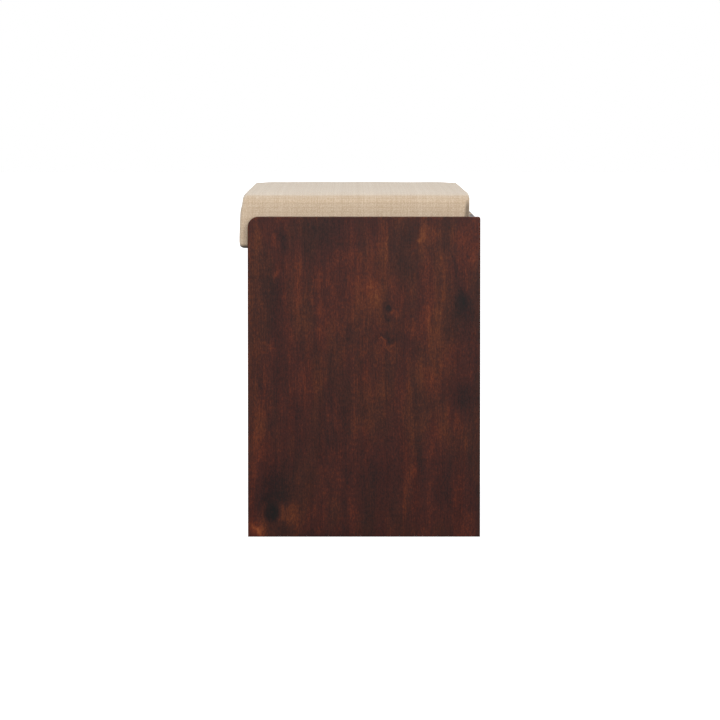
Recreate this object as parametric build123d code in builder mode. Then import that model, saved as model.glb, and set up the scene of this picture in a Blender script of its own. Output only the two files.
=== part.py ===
from build123d import *
import os
from math import asin, atan2, cos, degrees, hypot, radians, sin

# Storage bench: a timber case with slab ends, closed by an upholstered lid that lifts on
# three butt hinges and is held open by a folding stay at each end.
# Millimetres. X runs along the bench, -Y is its front and +Z is up. The origin is on the
# floor, at the centre of the rectangle that the bench covers.

os.makedirs("parts", exist_ok=True)

# ---------------------------------------------------------------- driving dimensions
overall_length = 900.0
overall_depth = 350.0
overall_height = 500.0

side_thickness = 20.0
side_height = 466.0
side_front_radius = 15.0
side_rear_radius = 3.0
arris = 1.2                  # softened edge on the visible timber

lid_overhang = 12.0          # lid's front face, ahead of the side panels' front edges
lip_drop = 45.0              # lid's front lip, below the side panels' top edges
lid_end_gap = 2.0            # between the lid and each side panel
lid_rear_gap = 15.5          # from the lid's rear face to the back of the bench
cover_thickness = 1.2
cover_turn_in = 25.0         # cover turned in under the lid and stapled
lip_thickness = 19.4
front_roll_radius = 14.0     # cushion's front top edge
rear_roll_radius = 3.5       # cushion's rear top edge

board_top = 462.0
board_thickness = 16.0
wadding_thickness = 2.8
dust_cover_thickness = 0.6
dust_cover_margin = 8.0
bumper_radius = 5.0
bumper_thickness = 1.5
bumper_gap = 0.2             # below the closed lid
bumper_stations = (-340.0, 0.0, 340.0)

front_recess = 11.0          # front panel, behind the side panels' front edges
front_thickness = 15.0
back_thickness = 14.0
back_drop = 7.0              # back panel's top, below the side panels' top edges
panel_bottom = 40.0
floor_thickness = 9.0
floor_clearance = 0.5
cleat_size = 15.0
cleat_bottom = 43.0
corner_block_size = 18.0

dowel_radius = 4.0
dowel_heights = (80.0, 190.0, 300.0, 410.0)
dowel_in_side = 12.0
dowel_in_panel = 18.0

screw_radius = 1.75
screw_head_height = 2.0
screw_slot = 0.8
corner_screw_bite = 10.0     # into the panel behind the corner block
cleat_screw_bite = 9.0
floor_screw_bite = 11.0
apron_screw_length = 32.0

staple_crown = 10.0
staple_wire = 0.6
staple_leg = 6.0
staple_inset = 5.0

hinge_centres = {"left": -300.0, "middle": 0.0, "right": 300.0}
hinge_length = 60.0
knuckle_count = 5
knuckle_radius = 3.0
knuckle_gap = 0.25
leaf_thickness = 1.4
leaf_fit = 0.3               # round a leaf let into the cover
barrel_room = knuckle_radius + 0.5
pin_radius = 1.5
pin_head_radius = 2.4
running_clearance = 0.06
hinge_screw_radius = 1.6
hinge_screw_length = 20.0
hinge_screw_offsets = (-20.0, 0.0, 20.0)

lid_opening = 95.0           # degrees, where the stays' elbows meet their stops
stay_thickness = 2.0
stay_half_width = 7.0
stay_layer_gap = 0.3
stay_rivet_radius = 2.5
stay_head_radius = 4.5
stay_head_thickness = 1.5
elbow_clearance = 0.35
stay_play = 0.2              # between a rivet's head and the arm that turns under it
bracket_half_width = 9.0
case_screw_spacing = 36.0
lid_screw_spacing = 18.0
stay_screw_length = 14.0
flange_reach = 32.0          # lid bracket's flange, from the side panel's inner face
flange_half_length = 16.0
stud_radius = 3.0
stud_distance = 13.0         # from the elbow to the stop stud

# ---------------------------------------------------------------- derived places
front_y = -overall_depth / 2
rear_y = overall_depth / 2
side_front_y = front_y + lid_overhang
inner_x = overall_length / 2 - side_thickness

front_panel_y = (side_front_y + front_recess, side_front_y + front_recess + front_thickness)
back_panel_y = (rear_y - back_thickness, rear_y)
back_top = side_height - back_drop
cleat_top = cleat_bottom + cleat_size
floor_top = cleat_top + floor_thickness

lid_half_length = inner_x - lid_end_gap
lid_rear_y = rear_y - lid_rear_gap
lip_bottom = side_height - lip_drop
lip_inner_y = front_y + lip_thickness
core_half_length = lid_half_length - cover_thickness
core_front_y = front_y + cover_thickness
core_rear_y = lid_rear_y - cover_thickness
core_top = overall_height - cover_thickness
core_x = (-core_half_length, core_half_length)
apron_y = (core_front_y + wadding_thickness, lip_inner_y - cover_thickness)
board_bottom = board_top - board_thickness
lid_underside = board_bottom - cover_thickness
dust_cover_bottom = lid_underside - dust_cover_thickness
dust_cover_x = lid_half_length - dust_cover_margin
dust_cover_y = (lip_inner_y + dust_cover_margin, lid_rear_y - dust_cover_margin)
front_top = dust_cover_bottom - bumper_gap - bumper_thickness

hinge_y = back_panel_y[0] + 0.5
hinge_z = back_top - leaf_thickness + knuckle_radius
case_leaf_y = (hinge_y + barrel_room, rear_y - 1.6)
case_leaf_z = (back_top - leaf_thickness, back_top)
lid_leaf_y = (core_rear_y, core_rear_y + leaf_thickness)
lid_leaf_z = (board_bottom + 1.0, hinge_z - barrel_room)

# The stay and the line between its pivots make a parallelogram with the hinge axis: the
# lower arm stays parallel to the lid and the upper arm keeps its direction.
case_pivot = (hinge_y - 33.5, hinge_z - 85.0)
lid_pivot = (hinge_y - 127.0, hinge_z - 26.0)
elbow = (case_pivot[0] + lid_pivot[0] - hinge_y, case_pivot[1] + lid_pivot[1] - hinge_z)


# ---------------------------------------------------------------- helpers
def save(piece, label):
    """Name a finished piece and write its STEP file."""
    piece.part.label = label
    export_step(piece.part, f"parts/{label}.step")


def block(x, y, z, mode=Mode.ADD):
    """A box between a low and a high limit along each axis."""
    with Locations(((x[0] + x[1]) / 2, (y[0] + y[1]) / 2, (z[0] + z[1]) / 2)):
        Box(x[1] - x[0], y[1] - y[0], z[1] - z[0], mode=mode)


def ordered(first, second):
    """Two limits, the lower one first."""
    return (min(first, second), max(first, second))


def facing(point, direction):
    """A place at a point, with its local Z along a direction."""
    return Plane(origin=point, z_dir=direction).location


def rods(places, radius, length, start=0.0, mode=Mode.ADD):
    """Round bars along each place's local Z, from start to start + length."""
    with Locations(*[place * Location((0, 0, start)) for place in places]):
        Cylinder(radius, length, align=(Align.CENTER, Align.CENTER, Align.MIN), mode=mode)


def screws(places, length, radius=screw_radius, mode=Mode.ADD):
    """Countersunk screws: each head is flush at its place, whose local Z points out."""
    head_radius = radius + screw_head_height
    below = (Align.CENTER, Align.CENTER, Align.MAX)
    with Locations(*places):
        Cylinder(radius, length, align=below, mode=mode)
        Cone(radius, head_radius, screw_head_height, align=below, mode=mode)
        if mode == Mode.ADD:
            Box(head_radius, screw_slot, screw_head_height, mode=Mode.SUBTRACT)
            Box(screw_slot, head_radius, screw_head_height, mode=Mode.SUBTRACT)


def spread(low, high, count):
    """Evenly spaced values from low to high."""
    return [low + (high - low) * step / (count - 1) for step in range(count)]


def hinge_relief():
    """Room for the hinge barrels, cut out of whatever stands beside them."""
    reach = hinge_length / 2 + 2.0
    starts = [centre - reach for centre in hinge_centres.values()]
    places = [facing((start, hinge_y, hinge_z), (1, 0, 0)) for start in starts]
    rods(places, barrel_room, 2 * reach, mode=Mode.SUBTRACT)


# ---------------------------------------------------------------- fastener places
def dowel_places(side, panel_y):
    """Dowels that join one side panel to the end of the front or back panel."""
    middle = sum(panel_y) / 2
    return [facing((side * inner_x, middle, z), (side, 0, 0)) for z in dowel_heights]


def corner_block_limits(side, panel_y):
    """Where a corner block stands, against a side panel and the front or back panel."""
    x = ordered(side * inner_x, side * (inner_x - corner_block_size))
    if panel_y == front_panel_y:
        return x, (panel_y[1], panel_y[1] + corner_block_size)
    return x, (panel_y[0] - corner_block_size, panel_y[0])


def corner_screw_places(side, panel_y):
    """Screws through a corner block, two into the side panel and two into the other."""
    x, y = corner_block_limits(side, panel_y)
    inner_face_x = side * (inner_x - corner_block_size)
    inner_face_y = y[1] if panel_y == front_panel_y else y[0]
    towards_room = 1 if panel_y == front_panel_y else -1
    side_heights = (135.0, 355.0)
    panel_heights = (160.0, 330.0)
    into_side = [facing((inner_face_x, sum(y) / 2, z), (-side, 0, 0)) for z in side_heights]
    into_panel = [facing((sum(x) / 2, inner_face_y, z), (0, towards_room, 0)) for z in panel_heights]
    return into_side + into_panel


long_cleat_stations = spread(-380.0, 380.0, 5)
short_cleat_stations = spread(-95.0, 119.0, 3)
floor_stations = spread(-285.0, 285.0, 4)
front_cleat_y = (front_panel_y[1], front_panel_y[1] + cleat_size)
back_cleat_y = (back_panel_y[0] - cleat_size, back_panel_y[0])
cleat_middle_z = (cleat_bottom + cleat_top) / 2
cleat_screw_length = cleat_size + cleat_screw_bite
corner_screw_length = corner_block_size + corner_screw_bite
floor_screw_length = floor_thickness + floor_screw_bite

front_cleat_screws = [
    facing((x, front_cleat_y[1], cleat_middle_z), (0, 1, 0)) for x in long_cleat_stations
]
back_cleat_screws = [
    facing((x, back_cleat_y[0], cleat_middle_z), (0, -1, 0)) for x in long_cleat_stations
]


def side_cleat_screws(side):
    """Screws through a side cleat into its side panel."""
    x = side * (inner_x - cleat_size)
    return [facing((x, y, cleat_middle_z), (-side, 0, 0)) for y in short_cleat_stations]


floor_screws = [
    facing((x, sum(y) / 2, floor_top), (0, 0, 1))
    for y in (front_cleat_y, back_cleat_y)
    for x in floor_stations
]
apron_stations = spread(-390.0, 390.0, 7)
apron_screws = [facing((x, sum(apron_y) / 2, board_top), (0, 0, 1)) for x in apron_stations]


def case_leaf_screws(centre):
    """Screws down through a hinge leaf into the back panel's top edge."""
    y = sum(case_leaf_y) / 2
    return [facing((centre + dx, y, back_top), (0, 0, 1)) for dx in hinge_screw_offsets]


def lid_leaf_screws(centre):
    """Screws forward through a hinge leaf into the seat board's rear edge."""
    z = sum(lid_leaf_z) / 2 - 0.4
    return [facing((centre + dx, lid_leaf_y[1], z), (0, 1, 0)) for dx in hinge_screw_offsets]


# Layers of a stay, as distances in from the side panel's inner face.
bracket_layer = (0.0, stay_thickness)
lower_layer = (bracket_layer[1] + stay_layer_gap, bracket_layer[1] + stay_layer_gap + stay_thickness)
upper_layer = (lower_layer[1] + stay_layer_gap, lower_layer[1] + stay_layer_gap + stay_thickness)
ear_layer = (upper_layer[1] + stay_layer_gap, upper_layer[1] + stay_layer_gap + stay_thickness)
flange_bottom = dust_cover_bottom - stay_thickness


def stay_x(side, depth):
    """X of a depth in from one side panel's inner face."""
    return side * (inner_x - depth)


def stay_case_screws(side):
    """Screws through a stay's case bracket into the side panel."""
    x = stay_x(side, bracket_layer[1])
    heights = [case_pivot[1] + sign * case_screw_spacing / 2 for sign in (-1, 1)]
    return [facing((x, case_pivot[0], z), (-side, 0, 0)) for z in heights]


def stay_lid_screws(side):
    """Screws up through a stay's lid bracket into the seat board."""
    x = stay_x(side, flange_reach - 8.0)
    stations = [lid_pivot[0] + sign * lid_screw_spacing / 2 for sign in (-1, 1)]
    return [facing((x, y, flange_bottom), (0, 0, -1)) for y in stations]


# ---------------------------------------------------------------- case timber
for side, name in ((-1, "left"), (1, "right")):
    with BuildPart() as side_panel:
        with BuildSketch(Plane.YZ.offset(side * inner_x)) as outline:
            with Locations(((side_front_y + rear_y) / 2, side_height / 2)):
                Rectangle(rear_y - side_front_y, side_height)
            front_corner = outline.vertices().group_by(Axis.Y)[-1].sort_by(Axis.X)[0]
            fillet(front_corner, radius=side_front_radius)
            rear_corner = outline.vertices().group_by(Axis.X)[-1].sort_by(Axis.Y)[-1]
            fillet(rear_corner, radius=side_rear_radius)
        extrude(amount=side * side_thickness)
        fillet(side_panel.faces().filter_by(Axis.X).edges(), radius=arris)
        for panel_y in (front_panel_y, back_panel_y):
            rods(dowel_places(side, panel_y), dowel_radius, dowel_in_side, mode=Mode.SUBTRACT)
            screws(corner_screw_places(side, panel_y), corner_screw_length, mode=Mode.SUBTRACT)
        screws(side_cleat_screws(side), cleat_screw_length, mode=Mode.SUBTRACT)
        screws(stay_case_screws(side), stay_screw_length, mode=Mode.SUBTRACT)
    save(side_panel, f"side_panel_{name}")

with BuildPart() as front_panel:
    block((-inner_x, inner_x), front_panel_y, (panel_bottom, front_top))
    fillet(front_panel.edges().filter_by(Axis.X), radius=arris)
    for side in (-1, 1):
        places = dowel_places(side, front_panel_y)
        rods(places, dowel_radius, dowel_in_panel, -dowel_in_panel, Mode.SUBTRACT)
        screws(corner_screw_places(side, front_panel_y), corner_screw_length, mode=Mode.SUBTRACT)
    screws(front_cleat_screws, cleat_screw_length, mode=Mode.SUBTRACT)
save(front_panel, "front_panel")

with BuildPart() as back_panel:
    block((-inner_x, inner_x), back_panel_y, (panel_bottom, back_top))
    fillet(back_panel.edges().filter_by(Axis.X), radius=arris)
    for centre in hinge_centres.values():
        recess_x = (centre - hinge_length / 2 - leaf_fit, centre + hinge_length / 2 + leaf_fit)
        recess_y = (back_panel_y[0] - 1, case_leaf_y[1] + leaf_fit)
        block(recess_x, recess_y, (case_leaf_z[0], back_top + 1), Mode.SUBTRACT)
        screws(case_leaf_screws(centre), hinge_screw_length, hinge_screw_radius, Mode.SUBTRACT)
    hinge_relief()
    for side in (-1, 1):
        places = dowel_places(side, back_panel_y)
        rods(places, dowel_radius, dowel_in_panel, -dowel_in_panel, Mode.SUBTRACT)
        screws(corner_screw_places(side, back_panel_y), corner_screw_length, mode=Mode.SUBTRACT)
    screws(back_cleat_screws, cleat_screw_length, mode=Mode.SUBTRACT)
save(back_panel, "back_panel")

for side, end_name in ((-1, "left"), (1, "right")):
    for panel_y, face_name in ((front_panel_y, "front"), (back_panel_y, "back")):
        with BuildPart() as corner_block:
            x, y = corner_block_limits(side, panel_y)
            block(x, y, (floor_top, front_top))
            screws(corner_screw_places(side, panel_y), corner_screw_length, mode=Mode.SUBTRACT)
        save(corner_block, f"corner_block_{face_name}_{end_name}")

with BuildPart() as floor_panel:
    floor_x = inner_x - floor_clearance
    floor_y = (front_panel_y[1] + floor_clearance, back_panel_y[0] - floor_clearance)
    block((-floor_x, floor_x), floor_y, (cleat_top, floor_top))
    screws(floor_screws, floor_screw_length, mode=Mode.SUBTRACT)
save(floor_panel, "floor_panel")

for cleat_y, cleat_screws, name in (
    (front_cleat_y, front_cleat_screws, "front"),
    (back_cleat_y, back_cleat_screws, "back"),
):
    with BuildPart() as long_cleat:
        block((-inner_x, inner_x), cleat_y, (cleat_bottom, cleat_top))
        screws(cleat_screws, cleat_screw_length, mode=Mode.SUBTRACT)
        screws(floor_screws, floor_screw_length, mode=Mode.SUBTRACT)
    save(long_cleat, f"floor_cleat_{name}")

for side, name in ((-1, "left"), (1, "right")):
    with BuildPart() as short_cleat:
        x = ordered(side * inner_x, side * (inner_x - cleat_size))
        block(x, (front_cleat_y[1], back_cleat_y[0]), (cleat_bottom, cleat_top))
        screws(side_cleat_screws(side), cleat_screw_length, mode=Mode.SUBTRACT)
    save(short_cleat, f"floor_cleat_{name}")

# ---------------------------------------------------------------- case fasteners
with BuildPart() as panel_dowels:
    for side in (-1, 1):
        for panel_y in (front_panel_y, back_panel_y):
            places = dowel_places(side, panel_y)
            rods(places, dowel_radius, dowel_in_side + dowel_in_panel, -dowel_in_panel)
save(panel_dowels, "panel_dowels")

with BuildPart() as corner_screws:
    for side in (-1, 1):
        for panel_y in (front_panel_y, back_panel_y):
            screws(corner_screw_places(side, panel_y), corner_screw_length)
save(corner_screws, "corner_block_screws")

with BuildPart() as cleat_screws:
    screws(front_cleat_screws + back_cleat_screws, cleat_screw_length)
    screws(side_cleat_screws(-1) + side_cleat_screws(1), cleat_screw_length)
save(cleat_screws, "cleat_screws")

with BuildPart() as floor_panel_screws:
    screws(floor_screws, floor_screw_length)
save(floor_panel_screws, "floor_panel_screws")

with BuildPart() as lid_bumpers:
    bumper_y = sum(front_panel_y) / 2
    bumpers = [facing((x, bumper_y, front_top), (0, 0, 1)) for x in bumper_stations]
    rods(bumpers, bumper_radius, bumper_thickness)
save(lid_bumpers, "lid_bumpers")

# ---------------------------------------------------------------- lid
with BuildPart() as seat_board:
    block(core_x, (apron_y[0], core_rear_y), (board_bottom, board_top))
    screws(apron_screws, apron_screw_length, mode=Mode.SUBTRACT)
    for centre in hinge_centres.values():
        screws(lid_leaf_screws(centre), hinge_screw_length, hinge_screw_radius, Mode.SUBTRACT)
    hinge_relief()
    for side in (-1, 1):
        screws(stay_lid_screws(side), stay_screw_length, mode=Mode.SUBTRACT)
save(seat_board, "seat_board")

with BuildPart() as apron_board:
    block(core_x, apron_y, (lip_bottom + cover_thickness, board_bottom))
    screws(apron_screws, apron_screw_length, mode=Mode.SUBTRACT)
save(apron_board, "apron_board")

with BuildPart() as apron_board_screws:
    screws(apron_screws, apron_screw_length)
save(apron_board_screws, "apron_screws")

with BuildPart() as front_wadding:
    wadding_y = (core_front_y, core_front_y + wadding_thickness)
    block(core_x, wadding_y, (lip_bottom + cover_thickness, board_top))
save(front_wadding, "front_wadding")

with BuildPart() as foam_pad:
    with BuildSketch(Plane.YZ.offset(-core_half_length)) as section:
        with Locations(((core_front_y + core_rear_y) / 2, (core_top + board_top) / 2)):
            Rectangle(core_rear_y - core_front_y, core_top - board_top)
        front_corner = section.vertices().group_by(Axis.Y)[-1].sort_by(Axis.X)[0]
        fillet(front_corner, radius=front_roll_radius - cover_thickness)
        rear_corner = section.vertices().group_by(Axis.X)[-1].sort_by(Axis.Y)[-1]
        fillet(rear_corner, radius=rear_roll_radius - cover_thickness)
    extrude(amount=2 * core_half_length)
    hinge_relief()
save(foam_pad, "foam_pad")

with BuildPart() as fabric_cover:
    with BuildSketch(Plane.YZ.offset(-lid_half_length)) as section:
        with BuildLine():
            Polyline(
                (lid_rear_y, lid_underside),
                (lid_rear_y, overall_height),
                (front_y, overall_height),
                (front_y, lip_bottom),
                (lip_inner_y, lip_bottom),
                (lip_inner_y, lid_underside),
                close=True,
            )
        make_face()
        front_corner = section.vertices().group_by(Axis.Y)[-1].sort_by(Axis.X)[0]
        fillet(front_corner, radius=front_roll_radius)
        rear_corner = section.vertices().group_by(Axis.X)[-1].sort_by(Axis.Y)[-1]
        fillet(rear_corner, radius=rear_roll_radius)
    extrude(amount=2 * lid_half_length)
    block(core_x, (core_front_y, core_rear_y), (board_bottom, board_top), Mode.SUBTRACT)
    block(core_x, (core_front_y, apron_y[1]), (lip_bottom + cover_thickness, board_top), Mode.SUBTRACT)
    add(foam_pad.part, mode=Mode.SUBTRACT)
    opening_x = core_half_length - cover_turn_in
    opening_y = (lip_inner_y + cover_turn_in, core_rear_y - cover_turn_in)
    block((-opening_x, opening_x), opening_y, (lid_underside - 1, board_bottom + 1), Mode.SUBTRACT)
    for centre in hinge_centres.values():
        leaf_x = (centre - hinge_length / 2 - leaf_fit, centre + hinge_length / 2 + leaf_fit)
        leaf_z = (lid_leaf_z[0] - leaf_fit, hinge_z)
        block(leaf_x, (core_rear_y, lid_rear_y + 1), leaf_z, Mode.SUBTRACT)
    hinge_relief()
    for side in (-1, 1):
        screws(stay_lid_screws(side), stay_screw_length, mode=Mode.SUBTRACT)
save(fabric_cover, "fabric_cover")

with BuildPart() as dust_cover:
    block((-dust_cover_x, dust_cover_x), dust_cover_y, (dust_cover_bottom, lid_underside))
    for side in (-1, 1):
        screws(stay_lid_screws(side), stay_screw_length, mode=Mode.SUBTRACT)
save(dust_cover, "dust_cover")


def staples(points, along_x):
    """Staples driven up through the dust cover, their crowns lying along X or along Y."""
    crown = (staple_crown, staple_wire) if along_x else (staple_wire, staple_crown)
    foot = (staple_crown - staple_wire) / 2
    step = (foot, 0.0) if along_x else (0.0, foot)
    with Locations(*[(x, y, dust_cover_bottom) for x, y in points]):
        Box(crown[0], crown[1], staple_wire, align=(Align.CENTER, Align.CENTER, Align.MAX))
    feet = [(x + sign * step[0], y + sign * step[1]) for x, y in points for sign in (-1, 1)]
    with Locations(*[(x, y, dust_cover_bottom - staple_wire) for x, y in feet]):
        Box(staple_wire, staple_wire, staple_leg, align=(Align.CENTER, Align.CENTER, Align.MIN))


with BuildPart() as dust_cover_staples:
    row_x = dust_cover_x - staple_inset
    row_y = (dust_cover_y[0] + staple_inset, dust_cover_y[1] - staple_inset)
    long_rows = [(x, y) for y in row_y for x in spread(-row_x + 8, row_x - 8, 18)]
    staples(long_rows, along_x=True)
    keep_off = flange_half_length + staple_crown / 2
    stations = [y for y in spread(row_y[0] + 20, row_y[1] - 20, 7) if abs(y - lid_pivot[0]) > keep_off]
    short_rows = [(sign * row_x, y) for sign in (-1, 1) for y in stations]
    staples(short_rows, along_x=False)
save(dust_cover_staples, "dust_cover_staples")

# ---------------------------------------------------------------- hinges
knuckle_pitch = hinge_length / knuckle_count


def knuckles(centre, picked, tongue_y, tongue_z, bore_radius):
    """A leaf's knuckles and the tongues that join them to its plate, bored for the pin."""
    length = knuckle_pitch - knuckle_gap
    starts = [centre - hinge_length / 2 + knuckle_pitch * index + knuckle_gap / 2 for index in picked]
    for start in starts:
        block((start, start + length), tongue_y, tongue_z)
    rods([facing((start, hinge_y, hinge_z), (1, 0, 0)) for start in starts], knuckle_radius, length)
    bore = facing((centre - hinge_length / 2, hinge_y, hinge_z), (1, 0, 0))
    rods([bore], bore_radius, hinge_length, mode=Mode.SUBTRACT)


for name, centre in hinge_centres.items():
    plate_x = (centre - hinge_length / 2, centre + hinge_length / 2)

    with BuildPart() as case_leaf:
        block(plate_x, case_leaf_y, case_leaf_z)
        knuckles(centre, (0, 2, 4), (hinge_y, case_leaf_y[0]), case_leaf_z, pin_radius)
        screws(case_leaf_screws(centre), hinge_screw_length, hinge_screw_radius, Mode.SUBTRACT)
    save(case_leaf, f"hinge_{name}_case_leaf")

    with BuildPart() as lid_leaf:
        block(plate_x, lid_leaf_y, lid_leaf_z)
        loose_radius = pin_radius + running_clearance
        knuckles(centre, (1, 3), lid_leaf_y, (lid_leaf_z[1], hinge_z), loose_radius)
        screws(lid_leaf_screws(centre), hinge_screw_length, hinge_screw_radius, Mode.SUBTRACT)
    save(lid_leaf, f"hinge_{name}_lid_leaf")

    with BuildPart() as hinge_pin:
        pin_start = facing((plate_x[0], hinge_y, hinge_z), (1, 0, 0))
        rods([pin_start], pin_radius, hinge_length)
        for head_start in (knuckle_gap / 2 - 1.0, hinge_length - knuckle_gap / 2):
            rods([pin_start], pin_head_radius, 1.0, start=head_start)
    save(hinge_pin, f"hinge_{name}_pin")

with BuildPart() as hinge_case_screws:
    for centre in hinge_centres.values():
        screws(case_leaf_screws(centre), hinge_screw_length, hinge_screw_radius)
save(hinge_case_screws, "hinge_case_screws")

with BuildPart() as hinge_lid_screws:
    for centre in hinge_centres.values():
        screws(lid_leaf_screws(centre), hinge_screw_length, hinge_screw_radius)
save(hinge_lid_screws, "hinge_lid_screws")

# ---------------------------------------------------------------- lid stays
lower_arm_length = hypot(elbow[0] - case_pivot[0], elbow[1] - case_pivot[1])
upper_arm_length = hypot(lid_pivot[0] - elbow[0], lid_pivot[1] - elbow[1])
upper_arm_angle = degrees(atan2(lid_pivot[1] - elbow[1], lid_pivot[0] - elbow[0]))

# The stop stud stands on the lower arm's tail, where the upper arm's edge meets it when
# the lid is fully open.
stud_lead = degrees(asin((stay_half_width + stud_radius + stay_play) / stud_distance))
stud_angle = radians(upper_arm_angle + lid_opening + stud_lead)
stud = (elbow[0] + stud_distance * cos(stud_angle), elbow[1] + stud_distance * sin(stud_angle))


def arm(side, layer, start, end, half_width):
    """A flat bar with round ends, centred on two points in the YZ plane."""
    length = hypot(end[0] - start[0], end[1] - start[1])
    turn = degrees(atan2(end[1] - start[1], end[0] - start[0]))
    with BuildSketch(Plane.YZ.offset(stay_x(side, layer[0]))) as bar:
        with Locations(((start[0] + end[0]) / 2, (start[1] + end[1]) / 2)):
            SlotCenterToCenter(length, 2 * half_width, rotation=turn)
    extrude(bar.sketch, amount=side * (layer[0] - layer[1]))


def pivot_rod(side, point, radius, outer_depth, inner_depth, mode=Mode.ADD):
    """A round bar across the layers of a stay, from one depth to another."""
    place = facing((stay_x(side, outer_depth), point[0], point[1]), (-side, 0, 0))
    rods([place], radius, inner_depth - outer_depth, mode=mode)


for side, name in ((-1, "left"), (1, "right")):
    with BuildPart() as case_bracket:
        with BuildSketch(Plane.YZ.offset(stay_x(side, bracket_layer[0]))):
            with Locations(case_pivot):
                SlotCenterToCenter(case_screw_spacing, 2 * bracket_half_width, rotation=90)
        extrude(amount=-side * stay_thickness)
        pivot_rod(side, case_pivot, stay_rivet_radius, *bracket_layer, Mode.SUBTRACT)
        screws(stay_case_screws(side), stay_screw_length, mode=Mode.SUBTRACT)
    save(case_bracket, f"stay_{name}_case_bracket")

    with BuildPart() as lower_arm:
        arm(side, lower_layer, elbow, case_pivot, stay_half_width)
        arm(side, lower_layer, elbow, stud, stud_radius + 2.0)
        pivot_rod(side, stud, stud_radius, lower_layer[0], upper_layer[1] + stay_play)
        loose_radius = stay_rivet_radius + running_clearance
        pivot_rod(side, case_pivot, loose_radius, *lower_layer, Mode.SUBTRACT)
        pivot_rod(side, elbow, stay_rivet_radius, *lower_layer, Mode.SUBTRACT)
    save(lower_arm, f"stay_{name}_lower_arm")

    with BuildPart() as upper_arm:
        arm(side, upper_layer, elbow, lid_pivot, stay_half_width)
        pivot_rod(side, elbow, stay_rivet_radius + elbow_clearance, *upper_layer, Mode.SUBTRACT)
        pivot_rod(side, lid_pivot, loose_radius, *upper_layer, Mode.SUBTRACT)
    save(upper_arm, f"stay_{name}_upper_arm")

    with BuildPart() as lid_bracket:
        with BuildSketch(Plane.YZ.offset(stay_x(side, ear_layer[0]))):
            with Locations(lid_pivot):
                Circle(bracket_half_width)
            ear_height = dust_cover_bottom - lid_pivot[1]
            with Locations((lid_pivot[0], lid_pivot[1] + ear_height / 2)):
                Rectangle(2 * bracket_half_width, ear_height)
        extrude(amount=-side * stay_thickness)
        flange_x = ordered(stay_x(side, ear_layer[0]), stay_x(side, flange_reach))
        flange_y = (lid_pivot[0] - flange_half_length, lid_pivot[0] + flange_half_length)
        block(flange_x, flange_y, (flange_bottom, dust_cover_bottom))
        pivot_rod(side, lid_pivot, stay_rivet_radius, *ear_layer, Mode.SUBTRACT)
        screws(stay_lid_screws(side), stay_screw_length, mode=Mode.SUBTRACT)
    save(lid_bracket, f"stay_{name}_lid_bracket")

    with BuildPart() as case_rivet:
        head_start = lower_layer[1] + stay_play
        pivot_rod(side, case_pivot, stay_rivet_radius, bracket_layer[0], head_start)
        pivot_rod(side, case_pivot, stay_head_radius, head_start, head_start + stay_head_thickness)
    save(case_rivet, f"stay_{name}_case_rivet")

    with BuildPart() as elbow_rivet:
        head_start = upper_layer[1] + stay_play
        pivot_rod(side, elbow, stay_head_radius, lower_layer[0] - stay_head_thickness, lower_layer[0])
        pivot_rod(side, elbow, stay_rivet_radius, lower_layer[0], head_start)
        pivot_rod(side, elbow, stay_head_radius, head_start, head_start + stay_head_thickness)
    save(elbow_rivet, f"stay_{name}_elbow_rivet")

    with BuildPart() as lid_rivet:
        head_end = upper_layer[0] - stay_play
        pivot_rod(side, lid_pivot, stay_head_radius, head_end - stay_head_thickness, head_end)
        pivot_rod(side, lid_pivot, stay_rivet_radius, head_end, ear_layer[1])
    save(lid_rivet, f"stay_{name}_lid_rivet")

with BuildPart() as stay_case_bracket_screws:
    for side in (-1, 1):
        screws(stay_case_screws(side), stay_screw_length)
save(stay_case_bracket_screws, "stay_case_bracket_screws")

with BuildPart() as stay_lid_bracket_screws:
    for side in (-1, 1):
        screws(stay_lid_screws(side), stay_screw_length)
save(stay_lid_bracket_screws, "stay_lid_bracket_screws")

print(f"lid axis y {hinge_y:.2f} z {hinge_z:.2f}")
print(f"lower arm pivot y {case_pivot[0]:.2f} z {case_pivot[1]:.2f}, length {lower_arm_length:.2f}")
print(f"upper arm pivot y {lid_pivot[0]:.2f} z {lid_pivot[1]:.2f}, length {upper_arm_length:.2f}")
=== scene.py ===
"""Looks for the storage bench: its upholstery, finishes, studio, light and camera.

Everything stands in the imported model's own frame: metres, Z up, the bench's length along X,
its front towards -Y and the floor at Z 0.
"""

import math

import bpy
import numpy as np
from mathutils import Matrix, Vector, kdtree, noise


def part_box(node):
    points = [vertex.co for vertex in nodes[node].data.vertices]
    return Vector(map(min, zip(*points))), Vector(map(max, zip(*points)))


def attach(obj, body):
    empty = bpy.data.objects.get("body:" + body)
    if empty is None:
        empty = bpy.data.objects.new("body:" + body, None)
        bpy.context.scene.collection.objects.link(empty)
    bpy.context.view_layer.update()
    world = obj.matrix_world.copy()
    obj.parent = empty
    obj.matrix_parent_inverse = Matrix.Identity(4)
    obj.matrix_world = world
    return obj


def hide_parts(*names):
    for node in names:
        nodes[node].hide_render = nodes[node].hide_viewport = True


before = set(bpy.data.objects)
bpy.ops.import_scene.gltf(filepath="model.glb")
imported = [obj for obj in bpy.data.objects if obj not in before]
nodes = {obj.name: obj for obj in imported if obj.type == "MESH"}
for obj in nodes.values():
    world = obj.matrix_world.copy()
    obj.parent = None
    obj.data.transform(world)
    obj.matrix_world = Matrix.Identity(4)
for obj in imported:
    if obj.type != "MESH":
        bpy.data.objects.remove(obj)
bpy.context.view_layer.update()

# The bench's own places, read from the frame.
cover_low, cover_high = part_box("fabric_cover")
apron_low, apron_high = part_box("apron_board")
board_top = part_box("seat_board")[1].z
dust_low, dust_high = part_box("dust_cover")
near_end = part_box("side_panel_right")[1].x
cloth = apron_low.z - cover_low.z
half_length = cover_high.x
front, rear = cover_low.y, cover_high.y
top, lip_bottom = cover_high.z, cover_low.z
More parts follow.
